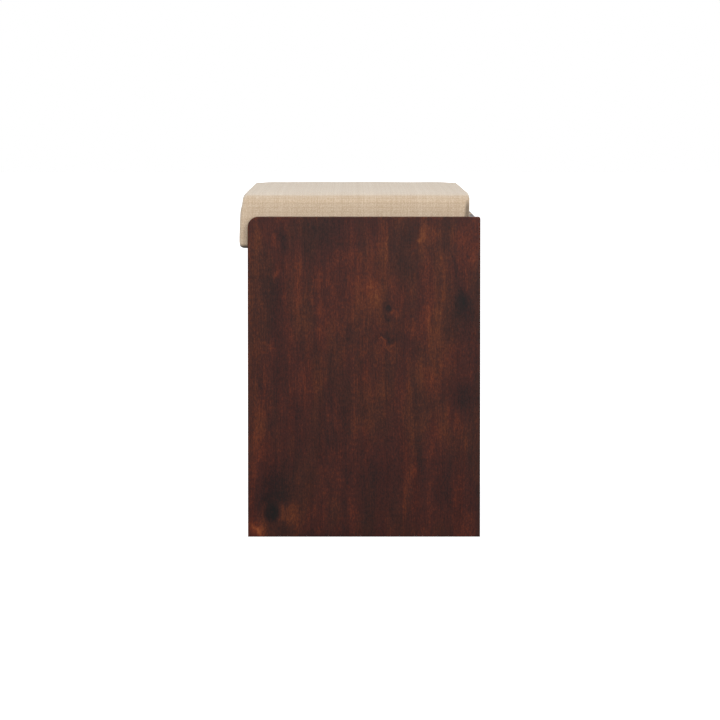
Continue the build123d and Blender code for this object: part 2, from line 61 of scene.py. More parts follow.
lip_inner = apron_high.y + cloth
underside = dust_high.z
HINGES = ("left", "middle", "right")

# The seat's shape. A roll is the radius of a rolled edge.
FRONT_ROLL = 0.0066
REAR_ROLL = 0.0030
LOWER_ROLL = 0.0026
LIP_ROLL = 0.0066         # bottom of the lip, on its outer side
END_ROLL_TOP = 0.0115
END_ROLL_FRONT = 0.005
END_ROLL_REAR = 0.0035
LEAN = 0.0021             # front face set back towards its top,
LEAN_START = 0.010        # from this far above the lip's bottom,
ROUND_BACK = 0.0026       # and curving back further, just below its rolled edge
FRONT_DEPTH = 0.016       # how far into the seat the front's lean is felt
LIP_DROOP = 0.0011        # how far the lip sags below its board
END_DROP = 0.0030         # top falls this much towards each end,
END_DROP_LENGTH = 0.050   # over this length
FOAM_UNEVEN = 0.0004
FOAM_LUMP = 0.055         # size of the foam's high and low places
START_TOP = 0.0005        # top of the slack pad, below the finished height
SWELL = 0.0013            # how far the stuffing may push the cloth
SHRINK = 0.0002           # and how far the cloth may pull in
PLEAT_INSET = 0.0065      # folded corner, from the end of the seat
PLEAT_RISE = 0.0006
LIP_SLACK = 0.0012        # how far the cloth may hang below its lip board
END_BULGE = 0.0011        # how far it may stand out at each end
REAR_BULGE = 0.0003
EDGE = 0.0005             # reach of "at the edge" when cloth is sorted by its place
SKIN = 0.0004             # a point this near the section's outline is on it

# Room for the hinges behind the seat.
LEAF_MARGIN = 0.0022      # pressed-in cloth round each leaf,
LEAF_EASE = 0.0035        # and the slope out of it
LEAF_GAP = 0.0002
BARREL_ROOM = 0.0040      # radius kept clear round the hinge's pin

# Finer mesh along the seat's edges.
END_BAND = 0.012
FRONT_BAND = 0.016
REAR_BAND = 0.012
TOP_BAND = 0.016
LOWER_BAND = 0.003

# The dust cover.
HEM = 0.014
HEM_STEP = 0.001          # where a hem's double cloth ends
DUST_SINGLE = 0.00035     # its single cloth's thickness
DUST_DROOP = 0.0024       # how far its middle hangs
RIPPLE = 0.0004           # its uneven slack
PUCKER = 0.00018          # its puckers between the staples,
PUCKER_PITCH = (0.047, 0.043)  # and their distance apart along X and Y


# ---------------- mesh helpers


def spans(*stretches):
    """Grid lines over a run of (start, end, cells) stretches."""
    out = [stretches[0][0]]
    for start, end, cells in stretches:
        out += [start + (end - start) * (i + 1) / cells for i in range(cells)]
    return out


def middles(lines):
    return [(a + b) / 2 for a, b in zip(lines, lines[1:])]


def prism_shell(xs, ys, zs, filled):
    """Points and quads round the filled cells of a Y-Z grid carried along X."""
    cells = {
        (j, k)
        for j, y in enumerate(middles(ys))
        for k, z in enumerate(middles(zs))
        if filled(y, z)
    }
    points, quads, index = [], [], {}

    def corner(i, j, k):
        key = (i, j, k)
        if key not in index:
            index[key] = len(points)
            points.append((xs[i], ys[j], zs[k]))
        return index[key]

    last = len(xs) - 1
    for j, k in sorted(cells):
        ring = [(j, k), (j + 1, k), (j + 1, k + 1), (j, k + 1)]
        quads.append([corner(last, *c) for c in ring])
        quads.append([corner(0, *c) for c in reversed(ring)])
        beside = [(j, k - 1), (j + 1, k), (j, k + 1), (j - 1, k)]
        for side, neighbour in enumerate(beside):
            if neighbour in cells:
                continue
            a, b = ring[side], ring[(side + 1) % 4]
            for i in range(last):
                quads.append([corner(i, *a), corner(i, *b), corner(i + 1, *b), corner(i + 1, *a)])
    return np.array(points), quads


def mesh_object(name, points, faces):
    mesh = bpy.data.meshes.new(name)
    mesh.from_pydata([tuple(p) for p in points], [], faces)
    mesh.validate()
    mesh.update()
    mesh.shade_smooth()
    made = bpy.data.objects.new(name, mesh)
    bpy.context.scene.collection.objects.link(made)
    return made


def get_points(mesh):
    flat = np.empty(len(mesh.vertices) * 3, np.float32)
    mesh.vertices.foreach_get("co", flat)
    return flat.reshape(-1, 3).astype(float)


def set_points(mesh, points):
    mesh.vertices.foreach_set("co", np.asarray(points, np.float32).ravel())
    mesh.update()


def apply_modifiers(made):
    """Puts the object's modifiers into its mesh."""
    graph = bpy.context.evaluated_depsgraph_get()
    settled = bpy.data.meshes.new_from_object(made.evaluated_get(graph))
    made.modifiers.clear()
    made.data = settled


def smooth_step(low, high, value):
    share = np.clip((value - low) / (high - low), 0, 1)
    return share * share * (3 - 2 * share)


def square_to_round(across, up, radius):
    """Moves (distance from one face, distance from the next) so that their edge is round."""
    a, b = radius - across, radius - up
    inside = (a > 0) & (b > 0)
    reach = np.hypot(a, b)
    share = np.where(inside, np.maximum(a, b) / np.maximum(reach, 1e-12), 1)
    return np.where(inside, radius - a * share, across), np.where(inside, radius - b * share, up)


# ---------------- seat cushion


def round_section(y, z):
    """The seat's section: its square corners rolled, at the front, the rear and underneath."""
    corners = [
        (front, top, 1, -1, FRONT_ROLL),
        (rear, top, -1, -1, REAR_ROLL),
        (front, lip_bottom, 1, 1, LIP_ROLL),
        (lip_inner, lip_bottom, -1, 1, LOWER_ROLL),
        (rear, underside, -1, 1, LOWER_ROLL),
    ]
    for corner_y, corner_z, into_y, into_z, radius in corners:
        dy, dz = (y - corner_y) * into_y, (z - corner_z) * into_z
        near = (dy >= -1e-9) & (dz >= -1e-9) & (dy < radius) & (dz < radius)
        rolled_y, rolled_z = square_to_round(dy, dz, radius)
        y = np.where(near, corner_y + into_y * rolled_y, y)
        z = np.where(near, corner_z + into_z * rolled_z, z)
    return y, z


def section_outline(step=0.0005):
    """Points round the rolled section, and the unit direction into the seat at each."""
    square = [
        (front, lip_bottom),
        (lip_inner, lip_bottom),
        (lip_inner, underside),
        (rear, underside),
        (rear, top),
        (front, top),
    ]
    y, z = [], []
    for (y0, z0), (y1, z1) in zip(square, square[1:] + square[:1]):
        count = int(math.hypot(y1 - y0, z1 - z0) / step)
        y += list(np.linspace(y0, y1, count, endpoint=False))
        z += list(np.linspace(z0, z1, count, endpoint=False))
    y, z = round_section(np.array(y), np.array(z))
    along = np.stack([np.roll(y, -2) - np.roll(y, 2), np.roll(z, -2) - np.roll(z, 2)], 1)
    along /= np.linalg.norm(along, axis=1)[:, None]
    return np.stack([y, z], 1), np.stack([-along[:, 1], along[:, 0]], 1)


def end_roll(inward):
    """Radius of the rolled edge round each end, by the way that edge faces."""
    y, z = inward[:, 0], inward[:, 1]
    return (
        END_ROLL_TOP * np.clip(-z, 0, 1) ** 2
        + LOWER_ROLL * np.clip(z, 0, 1) ** 2
        + END_ROLL_FRONT * np.clip(y, 0, 1) ** 2
        + END_ROLL_REAR * np.clip(-y, 0, 1) ** 2
    )


def round_ends(points):
    """Rolls the edges round both ends of the seat."""
    outline, inward = section_outline()
    tree = kdtree.KDTree(len(outline))
    for i, (y, z) in enumerate(outline):
        tree.insert((0, y, z), i)
    tree.balance()
    from_end = half_length - np.abs(points[:, 0])
    near = np.where(from_end < END_ROLL_TOP)[0]
    found = [tree.find((0, points[i, 1], points[i, 2])) for i in near]
    nearest = np.array([f[1] for f in found])
    depth = np.array([f[2] for f in found])
    depth[depth < SKIN] = 0
    radius = end_roll(inward[nearest])
    moved_end, moved_depth = square_to_round(from_end[near], depth, radius)
    points[near, 0] = np.sign(points[near, 0]) * (half_length - moved_end)
    points[near, 1:] += inward[nearest] * (moved_depth - depth)[:, None]
    return points


def foam_noise(points, size):
    return np.array([noise.noise(Vector(p) / size) for p in points])


def settle(points):
    """The slack pad before it is stuffed: a lower top, a front that leans back and uneven foam."""
    y, z = points[:, 1].copy(), points[:, 2].copy()
    height = smooth_step(board_top, top, z)
    points[:, 2] -= START_TOP * height
    from_end = half_length - np.abs(points[:, 0])
    points[:, 2] -= END_DROP * height * np.clip(1 - from_end / END_DROP_LENGTH, 0, 1) ** 2
    leaning = top - lip_bottom - LEAN_START
    lean = LEAN * np.clip((z - lip_bottom - LEAN_START) / leaning, 0, 1)
    lean += ROUND_BACK * smooth_step(top - 0.032, top - 0.005, z)
    points[:, 1] += lean * smooth_step(front + FRONT_DEPTH, front + 0.006, y)
    points[:, 2] -= LIP_DROOP * smooth_step(lip_bottom + 0.012, lip_bottom + 0.002, z)
    points[:, 2] += FOAM_UNEVEN * height * foam_noise(points, FOAM_LUMP)
    return points


def held_share(points):
    """How firmly the cloth is held: stapled under the lid and the lip, tight over the boards."""
    y, z = points[:, 1], points[:, 2]
    tight = 0.9 * smooth_step(board_top + 0.012, board_top - 0.004, z)
    under = (z < underside + EDGE) & (y > lip_inner - EDGE)
    lip = (z < lip_bottom + 0.0035) | ((y > lip_inner - EDGE) & (z < underside))
    return np.where(under | lip, 1.0, tight)


def stuff(made, frames=20):
    """Swells the free cloth over its foam with Blender's cloth solver."""
    start = get_points(made.data)
    outward = np.empty(len(start) * 3, np.float32)
    made.data.vertices.foreach_get("normal", outward)
    outward = outward.reshape(-1, 3).astype(float)
    held = held_share(start)
    group = made.vertex_groups.new(name="held")
    for i in np.where(held > 0.01)[0]:
        group.add([int(i)], float(held[i]), "REPLACE")
    cloth_modifier = made.modifiers.new("stuffing", "CLOTH")
    settings = cloth_modifier.settings
    settings.quality = 5
    settings.mass = 0.3
    settings.tension_stiffness = 25
    settings.compression_stiffness = 25
    settings.shear_stiffness = 12
    settings.bending_stiffness = 2
    settings.use_pressure = True
    settings.uniform_pressure_force = 4
    settings.vertex_group_mass = "held"
    settings.effector_weights.gravity = 0
    scene = bpy.context.scene
    scene.frame_start, scene.frame_end = 1, frames
    cloth_modifier.point_cache.frame_start = 1
    cloth_modifier.point_cache.frame_end = frames
    for number in range(1, frames + 1):
        scene.frame_set(number)
    apply_modifiers(made)
    made.vertex_groups.clear()
    moved = get_points(made.data) - start
    inward = np.minimum((moved * outward).sum(1) + SHRINK, 0)
    moved -= outward * inward[:, None]
    length = np.linalg.norm(moved, axis=1)
    share = SWELL * np.tanh(length / SWELL) / np.maximum(length, 1e-9)
    set_points(made.data, start + moved * share[:, None])
    scene.frame_set(1)


def subdivide(made):
    modifier = made.modifiers.new("finer", "SUBSURF")
    modifier.levels = modifier.render_levels = 1
    apply_modifiers(made)


def pleat(beyond):
    """Section across a folded corner: the upper layer's raised lip, then the sunk lower layer."""
    raised = smooth_step(-0.005, -0.0005, beyond) * smooth_step(0.0006, 0, beyond)
    sunk = smooth_step(0, 0.0007, beyond) * smooth_step(0.0040, 0.0012, beyond)
    return PLEAT_RISE * (raised - 0.9 * sunk)


def fold_corners(points):
    """Folded corners: one down each end of the front face, one down the back of each end face."""
    x, y, z = points.T.copy()
    up_to = smooth_step(top - 0.010, top - 0.022, z)
    front_fold = pleat(np.abs(x) - (half_length - PLEAT_INSET))
    points[:, 1] -= front_fold * up_to * smooth_step(front + 0.004, front + 0.002, y)
    end_fold = pleat(y - (rear - PLEAT_INSET))
    on_end = smooth_step(half_length - 0.0015, half_length - 0.0008, np.abs(x))
    points[:, 0] += np.sign(x) * end_fold * up_to * on_end
    return points


def clear_hinges(points):
    """Presses the cloth in behind each hinge leaf and round its barrel."""
    for name in HINGES:
        leaf_low, leaf_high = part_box(f"hinge_{name}_lid_leaf")
        pin_low, pin_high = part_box(f"hinge_{name}_pin")
        axis_y, axis_z = (pin_low.y + pin_high.y) / 2, (pin_low.z + pin_high.z) / 2
        x, y, z = points.T
        aside = np.maximum(leaf_low.x - x, x - leaf_high.x)
        below = leaf_low.z - z
        above = z - axis_z
        out = np.maximum(np.maximum(aside, below), above) - LEAF_MARGIN
        share = smooth_step(LEAF_EASE, 0, out) * smooth_step(rear - 0.006, rear - 0.003, y)
        points[:, 1] = y - np.maximum(y - (leaf_low.y - LEAF_GAP), 0) * share
        rise = np.clip(BARREL_ROOM**2 - (z - axis_z) ** 2, 0, None)
        over = np.maximum(points[:, 1] - (axis_y - np.sqrt(rise)), 0)
        points[:, 1] -= over * (rise > 0) * smooth_step(LEAF_EASE, 0, aside - LEAF_MARGIN)
    return points


def keep_clear(points):
    """Holds the seat inside its own space: off the side panels, the case and the dust cover."""
    limit = half_length + END_BULGE
    points[:, 0] = np.clip(points[:, 0], -limit, limit)
    points[:, 1] = np.minimum(points[:, 1], rear + REAR_BULGE)
    points[:, 2] = np.maximum(points[:, 2], lip_bottom - LIP_SLACK)
    over_case = points[:, 1] > lip_inner - EDGE
    points[over_case, 2] = np.maximum(points[over_case, 2], underside)
    return points


def make_cushion():
    """The whole upholstered seat as one closed form: pad, sides and lip."""
    xs = spans(
        (-half_length, -half_length + END_BAND, 12),
        (-half_length + END_BAND, half_length - END_BAND, 98),
        (half_length - END_BAND, half_length, 12),
    )
    ys = spans(
        (front, front + FRONT_BAND, 8),
        (front + FRONT_BAND, lip_inner, 1),
        (lip_inner, rear - REAR_BAND, 41),
        (rear - REAR_BAND, rear, 12),
    )
    zs = spans(
        (lip_bottom, lip_bottom + LOWER_BAND, 3),
        (lip_bottom + LOWER_BAND, underside, 4),
        (underside, underside + LOWER_BAND, 3),
        (underside + LOWER_BAND, top - TOP_BAND, 9),
        (top - TOP_BAND, top, 9),
    )
    points, quads = prism_shell(xs, ys, zs, lambda y, z: z > underside or y < lip_inner)
    points[:, 1], points[:, 2] = round_section(points[:, 1], points[:, 2])
    points = settle(round_ends(points))
    made = mesh_object("seat_cushion", points, quads)
    stuff(made)
    subdivide(made)
    points = get_points(made.data)
    set_points(made.data, keep_clear(clear_hinges(fold_corners(points))))
    made.data.shade_smooth()
    return made


# ---------------- dust cover


def hemmed(low, high, cells):
    """Grid lines across the dust cover: a hem, the step beside it, the single cloth and back."""
    return spans(
        (low, low + HEM, 4),
        (low + HEM, low + HEM + HEM_STEP, 1),
        (low + HEM + HEM_STEP, high - HEM - HEM_STEP, cells),
        (high - HEM - HEM_STEP, high - HEM, 1),
        (high - HEM, high, 4),
    )


def dust_cover_layers(grid):
    """Upper and lower surface of the dust cover over a grid of (x, y)."""
    x, y = grid.T
    room = np.minimum(dust_high.x - np.abs(x), np.minimum(y - dust_low.y, dust_high.y - y))
    slack = smooth_step(0.030, 0.130, room)
    ripple = np.array([noise.noise(Vector((a * 22, b * 22, 3.0))) for a, b in grid])
    pitch_x, pitch_y = PUCKER_PITCH
    fan = np.sin(x * 2 * math.pi / pitch_x) * np.sin(y * 2 * math.pi / pitch_y)
    pucker = smooth_step(0.022, 0.040, room) * smooth_step(0.120, 0.045, room)
    sag = (DUST_DROOP + RIPPLE * ripple) * slack + PUCKER * pucker * (1 + fan)
    thickness = np.where(room < HEM + HEM_STEP / 2, dust_high.z - dust_low.z, DUST_SINGLE)
    upper = dust_high.z - 0.00005 - sag
    lower = np.maximum(dust_high.z - thickness - sag, dust_low.z - 0.004)
    return np.column_stack([x, y, upper]), np.column_stack([x, y, lower])


def two_layer_faces(columns, rows):
    """Quads of an upper and a lower grid of points, joined round their rim."""
    count = columns * rows
    faces = []
    for r in range(rows - 1):
        for c in range(columns - 1):
            a = r * columns + c
            quad = [a, a + 1, a + columns + 1, a + columns]
            faces.append(quad)
            faces.append([count + v for v in reversed(quad)])
    rim = list(range(columns))
    rim += [r * columns + columns - 1 for r in range(1, rows)]
    rim += [(rows - 1) * columns + c for c in range(columns - 2, -1, -1)]
    rim += [r * columns for r in range(rows - 2, 0, -1)]
    for a, b in zip(rim, rim[1:] + rim[:1]):
        faces.append([a, count + a, count + b, b])
    return faces


def make_dust_cover():
    """Black cloth over the lid's underside: its edges folded under, stapled, and a little slack."""
    xs = hemmed(-dust_high.x, dust_high.x, 150)
    ys = hemmed(dust_low.y, dust_high.y, 54)
    points = np.concatenate(dust_cover_layers(np.array([(x, y) for y in ys for x in xs])))
    return mesh_object("underside_dust_cloth", points, two_layer_faces(len(xs), len(ys)))


# ---------------- materials


def linear(red, green, blue):
    """A colour given as 0-255 display values, as the shaders want it."""
    def one(value):
        share = value / 255
        return share / 12.92 if share <= 0.04045 else ((share + 0.055) / 1.055) ** 2.4

    return (one(red), one(green), one(blue), 1.0)


# A board's (across, along, through) axes.
X, Y, Z = 0, 1, 2
UPRIGHT = (Y, Z, X)
LENGTHWISE = (Z, X, Y)

# Colours by tone.
STAIN = (
    (0.00, linear(12, 6, 6)),
    (0.25, linear(36, 11, 9)),
    (0.50, linear(61, 22, 14)),
    (0.72, linear(92, 37, 17)),
    (1.00, linear(128, 64, 31)),
)
OATMEAL = (
    (0.35, linear(176, 148, 117)),
    (0.80, linear(204, 180, 152)),
    (1.00, linear(222, 204, 181)),
)
JOINT_BLUR = 0.0020      # the stain's change of tone at a glued joint, each side of it
THREAD = 0.00115         # from one thread of the linen to the next
THREAD_WAVER = 0.0035    # how far the threads stray from straight
SIDES_START = 0.006      # below the top, where the cloth turns down the sides
DUST_PRESS = 0.0022      # pitch of the grid pressed into the dust cloth


class Shader:
    """A material's nodes, with a short way to add and join them."""

    def __init__(self, name, **surface):
        self.material = bpy.data.materials.new(name)
        self.material.use_nodes = True
        self.tree = self.material.node_tree
        self.surface = self.tree.nodes["Principled BSDF"]
        for key, value in surface.items():
            self.plug(self.surface.inputs[key.replace("_", " ")], value)

    def plug(self, socket, value):
        if isinstance(value, bpy.types.NodeSocket):
            self.tree.links.new(value, socket)
        else:
            socket.default_value = value

    def node(self, kind, inputs=(), **settings):
        made = self.tree.nodes.new("ShaderNode" + kind)
        for key, value in settings.items():
            setattr(made, key, value)
        for key, value in dict(inputs).items():
            self.plug(made.inputs[key], value)
        return made

    def math(self, operation, a, b=0.0, c=0.0):
        return self.node("Math", {0: a, 1: b, 2: c}, operation=operation).outputs[0]

    def vector(self, operation, a, b=(0, 0, 0)):
        return self.node("VectorMath", {0: a, 1: b}, operation=operation).outputs["Vector"]

    def length(self, a):
        return self.node("VectorMath", {0: a}, operation="LENGTH").outputs["Value"]

    def dot(self, a, b):
        return self.node("VectorMath", {0: a, 1: b}, operation="DOT_PRODUCT").outputs["Value"]

    def split(self, value):
        return self.node("SeparateXYZ", {0: value}).outputs

    def join(self, x, y, z):
        return self.node("CombineXYZ", {0: x, 1: y, 2: z}).outputs[0]

    def place(self):
        return self.node("TexCoord").outputs["Object"]

    def facing(self):
        return self.node("TexCoord").outputs["Normal"]

    def noise(self, where, stretch, detail=2.0, roughness=0.5, distortion=0.0):
        """Noise from 0 to 1; stretch is its detail per metre along each axis."""
        scaled = self.vector("MULTIPLY", where, stretch)
        settings = {"Vector": scaled, "Scale": 1.0, "Detail": detail, "Roughness": roughness}
        settings["Distortion"] = distortion
        return self.node("TexNoise", settings).outputs["Fac"]

    def swirl(self, where, stretch, detail=2.0):
        """A noise vector, each part of it from -0.5 to 0.5."""
        scaled = self.vector("MULTIPLY", where, stretch)
        settings = {"Vector": scaled, "Scale": 1.0, "Detail": detail}
        colour = self.node("TexNoise", settings).outputs["Color"]
        return self.vector("SUBTRACT", colour, (0.5, 0.5, 0.5))

    def push(self, place, by, amounts):
        """place, moved by a vector times these amounts along each axis."""
        return self.vector("ADD", place, self.vector("MULTIPLY", by, amounts))

    def spread(self, value, low, high, to_low=0.0, to_high=1.0):
        settings = {"Value": value, "From Min": low, "From Max": high}
        settings.update({"To Min": to_low, "To Max": to_high})
        return self.node("MapRange", settings, interpolation_type="SMOOTHSTEP").outputs[0]

    def ramp(self, value, *stops):
        """Colour by value; stops are (value, colour)."""
        made = self.node("ValToRGB", {"Fac": value})
        elements = made.color_ramp.elements
        while len(elements) < len(stops):
            elements.new(0.5)
        for element, (position, colour) in zip(elements, stops):
            element.position = position
            element.color = colour
        return made.outputs["Color"]

    def mix(self, share, a, b, blend="MIX"):
        made = self.node("Mix", data_type="RGBA", blend_type=blend, clamp_factor=True)
        self.plug(made.inputs[0], share)
        self.plug(made.inputs[6], a)
        self.plug(made.inputs[7], b)
        return made.outputs[2]

    def scaled(self, value, gain, offset=0.0):
        return self.math("MULTIPLY_ADD", value, gain, offset)

    def vary(self, tone, noise_value, amount):
        """tone, made lighter and darker by a noise."""
        return self.math("MULTIPLY_ADD", self.scaled(noise_value, 1.0, -0.5), amount, tone)

    def colour(self, value):
        self.plug(self.surface.inputs["Base Color"], value)

    def roughness(self, value):
        self.plug(self.surface.inputs["Roughness"], value)

    def bump(self, height, distance, strength=1.0):
        made = self.node("Bump", {"Height": height, "Distance": distance, "Strength": strength})
        self.plug(self.surface.inputs["Normal"], made.outputs[0])


def grain_space(shader, across, along, through):
    """Object coordinates as (across the grain, along it, through the board)."""
    place = shader.split(shader.place())
    return shader.join(place[across], place[along], place[through])


def flow_round_knots(shader, board, grain, ragged, knots):
    """Bends the grain round each knot. Returns it with the knots' dark cores and their rings."""
    core = 0.0
    rings = 0.0
    for across, along, radius, depth in knots:
        offset = shader.vector("SUBTRACT", board, (across, along, 0))
        offset = shader.push(offset, ragged, (0.004, 0.005, 0))
        reach = shader.length(shader.vector("MULTIPLY", offset, (1 / radius, 0.8 / radius, 0)))
        fade = shader.math("POWER", 0.62, shader.math("MULTIPLY", reach, reach))
        pull = shader.vector("SCALE", offset)
        shader.plug(pull.node.inputs["Scale"], shader.scaled(fade, -0.8))
        grain = shader.push(grain, pull, (1, 0.35, 0))
        core = shader.math("MULTIPLY_ADD", shader.spread(reach, 1.35, 0.35), -depth, core)
        turns = shader.math("SINE", shader.scaled(reach, 5.2, 2.6))
        rings = shader.math("MULTIPLY_ADD", turns, shader.spread(reach, 3.0, 0.9), rings)
    return grain, core, rings


def add_staves(shader, tone, across, staves):
    """Changes the tone from each glued board to the next."""
    before = 0.0
    for edge, level in staves:
        step = shader.spread(across, edge - JOINT_BLUR, edge + JOINT_BLUR, 0, level - before)
        tone = shader.math("ADD", tone, step)
        before = level
    return tone


def stain_patches(shader, loose, marks, slants):
    """The soft patches of the stain, added up."""
    upright = [(*mark[:4], 0.0, mark[4]) for mark in marks]
    patches = 0.0
    for across, along, half_width, half_height, lean, level in [*upright, *slants]:
        offset = shader.vector("SUBTRACT", loose, (across, along, 0))
        if lean:
            x, y = shader.split(offset)[:2]
            offset = shader.join(shader.math("MULTIPLY_ADD", y, -lean, x), y, 0.0)
        offset = shader.vector("MULTIPLY", offset, (1 / half_width, 1 / half_height, 0))
        patch = shader.math("POWER", 0.37, shader.dot(offset, offset))
        patches = shader.math("MULTIPLY_ADD", patch, level, patches)
    return patches


def worn_edges(shader, low, high):
    """1 along the upright and upper arrises of the box from low to high, 0 away from them."""
    place = shader.split(shader.place())
    nearest = [shader.math("SUBTRACT", high[i], place[i]) for i in range(3)]
    for i in (X, Y):
        to_low = shader.math("SUBTRACT", place[i], low[i])
        nearest[i] = shader.math("MINIMUM", to_low, nearest[i])
    near = [shader.spread(n, 0.0030, 0.0006) for n in nearest]
    pairs = [shader.math("MULTIPLY", near[i], near[j]) for i, j in ((0, 1), (1, 2), (0, 2))]
    both = shader.math("MAXIMUM", pairs[0], shader.math("MAXIMUM", pairs[1], pairs[2]))
    patchy = shader.noise(shader.place(), (60, 60, 60), 2.0)
    return shader.math("MULTIPLY", both, shader.spread(patchy, 0.30, 0.60, 0.35, 1.0))


def stained_wood(name, axes, edges, marks, knots, staves, slants=(), shift=(0, 0, 0)):
    """Dark stained, satin lacquered hardwood.

    axes are the board's, as above, and edges the corners of its box. marks are soft lighter or
    darker patches of the stain, (across, along, half width, half height, tone), and slants are
    the same with the lean of a slanting streak before the tone. knots are (across, along,
    radius, depth of tone), and staves are the glued boards, (edge across, tone of the board
    beyond it). shift moves the random grain.
    """
    shader = Shader(name, Specular_IOR_Level=0.18)
    board = grain_space(shader, *axes)
    texture = shader.vector("ADD", board, shift)
    ragged = shader.swirl(texture, (70, 40, 70), 3.0)
    loose = shader.push(board, ragged, (0.020, 0.044, 0))

    # The grain wanders slowly and flows round the knots.
    grain = shader.push(texture, shader.swirl(texture, (9, 3.2, 9)), (0.022, 0.05, 0))
    grain, core, rings = flow_round_knots(shader, board, grain, ragged, knots)

    blotch = shader.noise(grain, (17, 4.2, 17), 3.0, 0.55)
    figure = shader.noise(grain, (62, 6.0, 62), 4.0, 0.6, 0.35)
    streak = shader.noise(grain, (190, 9.0, 190), 3.0, 0.6)
    fibre = shader.noise(grain, (950, 32, 950), 2.0, 0.6)
    mottle = shader.noise(grain, (70, 34, 70), 2.0, 0.55)
    grit = shader.noise(texture, (420, 210, 420), 3.0, 0.7)
    layers = (blotch, figure, streak, fibre, mottle, grit)
    amounts = (0.24, 0.30, 0.26, 0.30, 0.36, 0.72)
    tone = 0.5
    for layer, amount in zip(layers, amounts):
        tone = shader.vary(tone, layer, amount)

    tone = add_staves(shader, tone, shader.split(loose)[0], staves)
    uneven = shader.math("ADD", shader.scaled(streak, 0.9, 0.15), shader.scaled(mottle, 0.9, -0.05))
    tone = shader.math("MULTIPLY_ADD", stain_patches(shader, loose, marks, slants), uneven, tone)
    tone = shader.math("MULTIPLY_ADD", rings, 0.045, tone)
    tone = shader.math("ADD", tone, core)
    tone = shader.math("MULTIPLY_ADD", worn_edges(shader, *edges), 0.07, tone)

    # The stain is redder in places and browner in others, and darkest in the pores.
    colour = shader.ramp(tone, *STAIN)
    browner = shader.spread(shader.noise(grain, (22, 7, 22), 3.0), 0.42, 0.62)
    colour = shader.mix(browner, colour, shader.mix(1.0, colour, (0.90, 1.16, 1.05, 1), "MULTIPLY"))
    pores = shader.spread(shader.noise(grain, (1500, 60, 1500), 1.0), 0.60, 0.72)
    shader.colour(shader.mix(shader.scaled(pores, 0.30), colour, linear(14, 6, 5)))
    shader.roughness(shader.spread(figure, 0.3, 0.7, 0.42, 0.32))
    height = shader.math("MULTIPLY_ADD", pores, -0.7, shader.scaled(fibre, 0.5))
    shader.bump(height, 0.00012, 0.6)
    return shader.material


def ply_edges(shader, colour, lowest, pitch):
    """The colour of the faces, with the plies as bands on the edges."""
    up = shader.split(shader.place())[2]
    turn = shader.math("SINE", shader.scaled(up, math.pi / pitch, -lowest * math.pi / pitch))
    light = shader.spread(turn, -0.25, 0.25)
    banded = shader.mix(light, linear(150, 112, 72), linear(206, 172, 126))
    flat = shader.math("ABSOLUTE", shader.split(shader.facing())[2])
    return shader.mix(shader.spread(flat, 0.4, 0.6), banded, colour)


def pale_wood(name, axes, light, dark, plies=None):
    """Plain unfinished wood; plies is the (lowest, pitch) of a plywood's plies."""
    shader = Shader(name, Specular_IOR_Level=0.3)
    place = shader.vector("ADD", grain_space(shader, *axes), (0.3, 0.7, 0.1))
    wander = shader.node("TexNoise", {"Vector": place, "Scale": 5.0, "Detail": 2.0}).outputs["Color"]
    grain = shader.push(place, wander, (0.03, 0.05, 0.03))
    rings = shader.noise(grain, (90, 3.0, 90), 3.0, 0.6, 0.4)
    fibre = shader.noise(grain, (900, 25, 900), 2.0, 0.6)
    share = shader.math("MULTIPLY_ADD", fibre, 0.45, shader.scaled(rings, 0.9, -0.15))
    colour = shader.ramp(share, (0.15, dark), (0.75, light))
    if plies:
        colour = ply_edges(shader, colour, *plies)
    shader.colour(colour)
    shader.roughness(shader.spread(fibre, 0.3, 0.7, 0.72, 0.58))
    shader.bump(fibre, 0.0002, 0.5)
    return shader.material


def lay_cloth(shader, place, on_end):
    """Distances over the seat along X and Y that run on down its sides, and how far down.

    on_end is 1 on the ends of the seat and 0 on its front and rear.
    """
    x, y, z = shader.split(place)[:3]
    drop = shader.math("MAXIMUM", shader.math("SUBTRACT", top - SIDES_START, z), 0.0)
    end_drop = shader.math("MULTIPLY", drop, on_end)
    side_drop = shader.math("SUBTRACT", drop, end_drop)
    over_x = shader.math("MULTIPLY_ADD", shader.math("SIGN", x), end_drop, x)
    over_y = shader.math("MULTIPLY_ADD", shader.math("SIGN", y), side_drop, y)
    waver = shader.split(shader.swirl(place, (26, 26, 26), 3.0))
    over_x = shader.math("MULTIPLY_ADD", waver[0], THREAD_WAVER, over_x)
    over_y = shader.math("MULTIPLY_ADD", waver[1], THREAD_WAVER, over_y)
    return over_x, over_y, drop


def thread_height(shader, across, along, number, lift):
    """Height of one set of threads, round across and passing over and under, and that passing."""
    body = shader.math("ABSOLUTE", shader.math("SINE", shader.math("MULTIPLY", across, math.pi)))
    phase = shader.math("ADD", along, shader.math("ADD", number, lift))
    over = shader.scaled(shader.math("COSINE", shader.math("MULTIPLY", phase, math.pi)), 0.5, 0.5)
    return shader.math("MULTIPLY", shader.math("POWER", body, 0.6), over), over


def thread_tone(shader, number, slub):
    """Tone of one set of threads: each differs a little, and each is slubbed along its length."""
    own = shader.node("TexWhiteNoise", {"W": number}, noise_dimensions="1D").outputs["Value"]
    return shader.math("MULTIPLY_ADD", own, 0.22, shader.scaled(slub, 0.24, 0.595))


